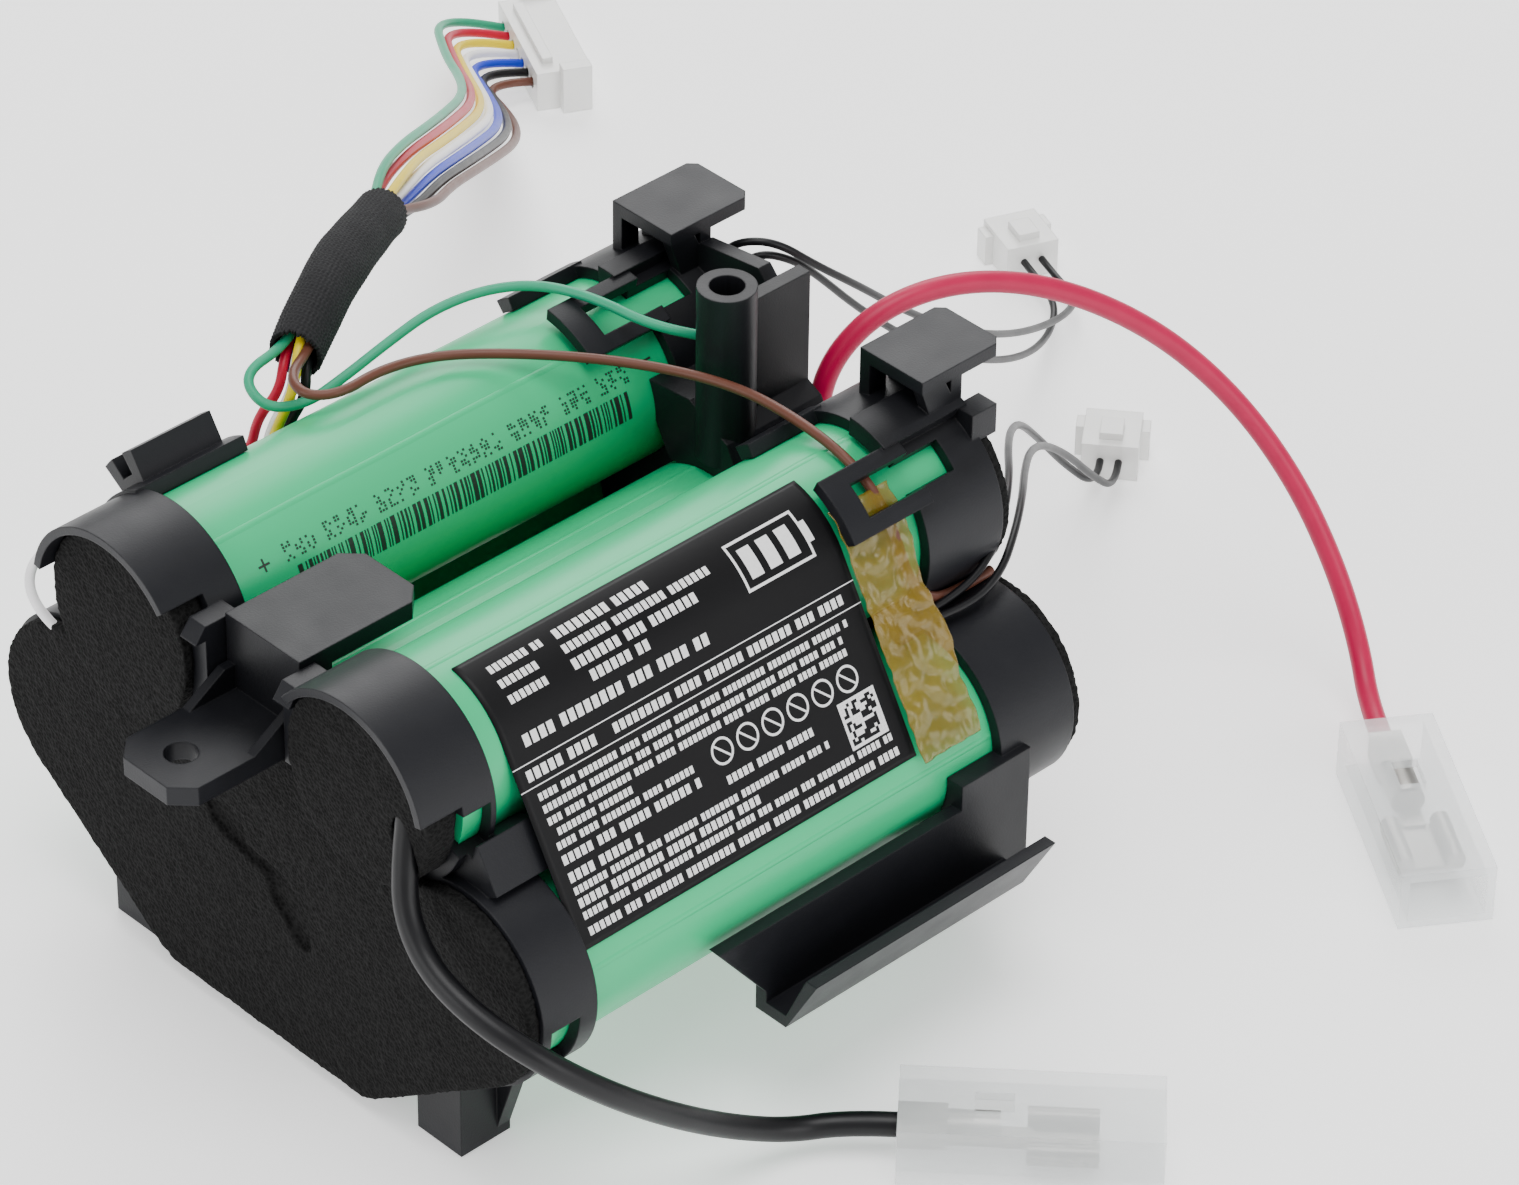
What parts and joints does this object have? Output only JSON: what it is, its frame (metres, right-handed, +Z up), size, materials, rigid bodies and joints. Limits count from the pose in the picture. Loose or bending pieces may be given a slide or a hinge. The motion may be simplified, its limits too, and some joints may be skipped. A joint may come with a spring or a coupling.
{
  "type": "battery pack",
  "caption": "Cylindrical-cell battery pack in two moulded end caps, with main leads, a balance harness, temperature leads, guide rails, hooks, an ear and a screw boss.",
  "frame": {"origin": "centre of the bottom of the pack's own box, on the surface that its feet stand on", "axes": "+X along the cells from the foam-covered front cap to the rear cap, +Y to the left across the pack, +Z up"},
  "size_m": [0.1629, 0.1906, 0.0582],
  "materials": {
    "black_plastic": "satin moulded",
    "cell_can": "nickel plated",
    "green_sleeve": "semi-gloss shrink film",
    "white_card": "plain",
    "nickel": "bright",
    "black_foam": "fine open grain",
    "label_film": "satin film with white print",
    "amber_tape": "clear amber film",
    "crimson_insulation": "satin",
    "black_insulation": "satin",
    "green_insulation": "satin",
    "red_insulation": "satin",
    "yellow_insulation": "satin",
    "white_insulation": "satin",
    "blue_insulation": "satin",
    "brown_insulation": "satin",
    "braided_sleeve": "fine weave",
    "white_nylon": "satin moulded",
    "clear_nylon": "translucent moulded",
    "tinned_brass": "tin plated",
    "black_epoxy": "dipped"
  },
  "bodies": {
    "root": {"front_cap": "black_plastic", "rear_cap": "black_plastic", "cell_1": "cell_can", "cell_2": "cell_can", "cell_3": "cell_can", "cell_4": "cell_can", "cell_5": "cell_can", "cell_6": "cell_can", "cell_7": "cell_can", "cell_sleeve_1": "green_sleeve", "cell_sleeve_2": "green_sleeve", "cell_sleeve_3": "green_sleeve", "cell_sleeve_4": "green_sleeve", "cell_sleeve_5": "green_sleeve", "cell_sleeve_6": "green_sleeve", "cell_sleeve_7": "green_sleeve", "insulator_rings": "white_card", "front_link_2_3": "nickel", "front_link_4_5": "nickel", "front_link_6_7": "nickel", "rear_link_1_2": "nickel", "rear_link_3_4": "nickel", "rear_link_5_6": "nickel", "negative_tab": "nickel", "positive_tab": "nickel", "front_foam_pad": "black_foam", "rear_foam_pad": "black_foam", "rating_label": "label_film", "holding_tape": "amber_tape", "positive_cable": "crimson_insulation", "negative_cable": "black_insulation", "thermistor_wire_1": "black_insulation", "thermistor_wire_2": "black_insulation", "thermistor_wire_3": "black_insulation", "thermistor_wire_4": "black_insulation", "tap_wire_green": "green_insulation", "tap_wire_red": "red_insulation", "tap_wire_yellow": "yellow_insulation", "tap_wire_white": "white_insulation", "tap_wire_blue": "blue_insulation", "tap_wire_brown": "brown_insulation", "tap_wire_black": "black_insulation", "harness_sleeve": "braided_sleeve", "harness_connector": "white_nylon", "thermistor_plug_upper": "white_nylon", "thermistor_plug_lower": "white_nylon", "positive_plug": "clear_nylon", "negative_plug": "clear_nylon", "harness_contacts": "tinned_brass", "positive_terminal": "tinned_brass", "negative_terminal": "tinned_brass", "thermistor_upper": "black_epoxy", "thermistor_lower": "black_epoxy"}
  },
  "joints": []
}
